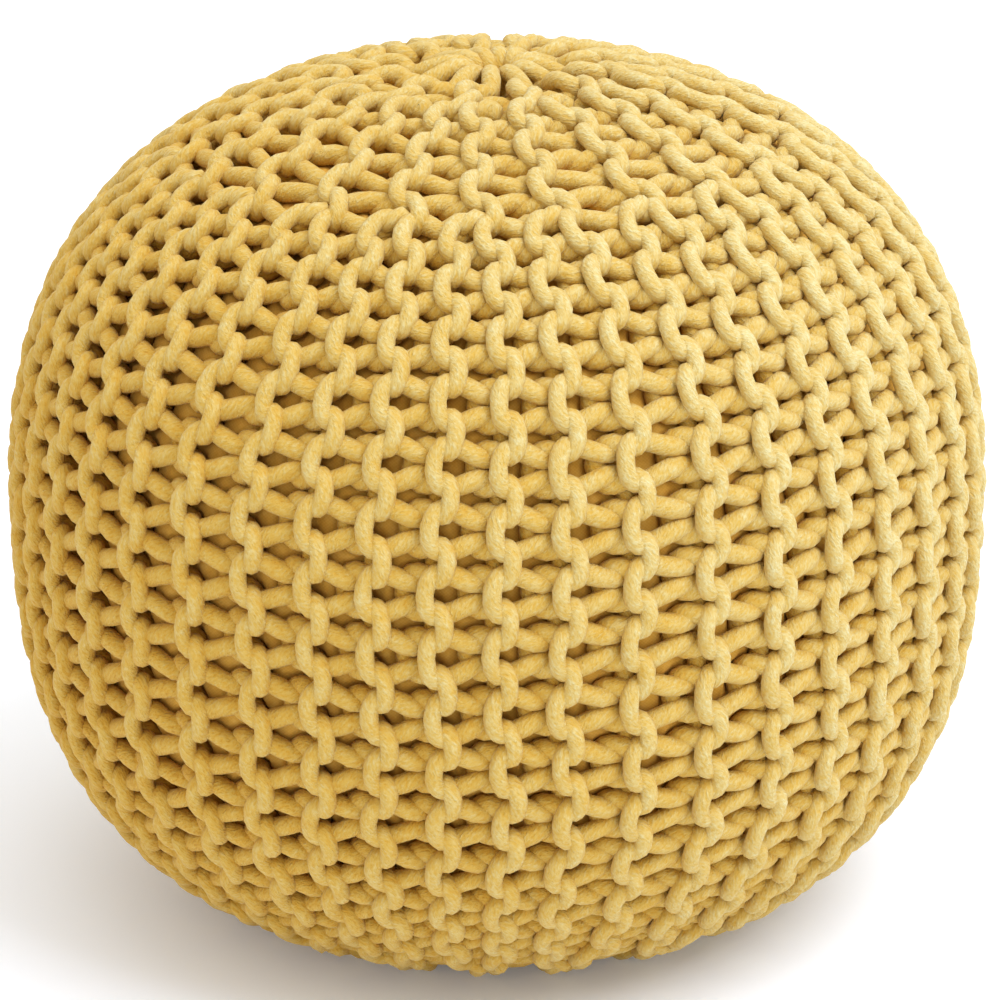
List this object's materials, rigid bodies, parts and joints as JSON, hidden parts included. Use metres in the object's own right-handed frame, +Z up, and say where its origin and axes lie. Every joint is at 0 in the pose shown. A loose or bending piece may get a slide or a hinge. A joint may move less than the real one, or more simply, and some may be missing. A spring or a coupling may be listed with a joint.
{
  "type": "knitted pouf",
  "caption": "Round floor pouf with a ribbed cover knitted in thick cotton cord, drawn together at the crown over a filled cloth casing.",
  "frame": {"origin": "middle of the resting face, at floor level", "axes": "+Z up through the gather of the crown, -Y towards the front, +X to the right seen from the front"},
  "size_m": [0.4591, 0.4597, 0.405],
  "materials": {
    "cotton_cord": "matte butter-yellow cotton cord, spun soft and knitted in ribs",
    "casing_cloth": "matte plain-woven cotton cloth in the cord's yellow"
  },
  "bodies": {
    "root": {"knitted_cover": "cotton_cord", "filled_casing": "casing_cloth"}
  },
  "joints": []
}
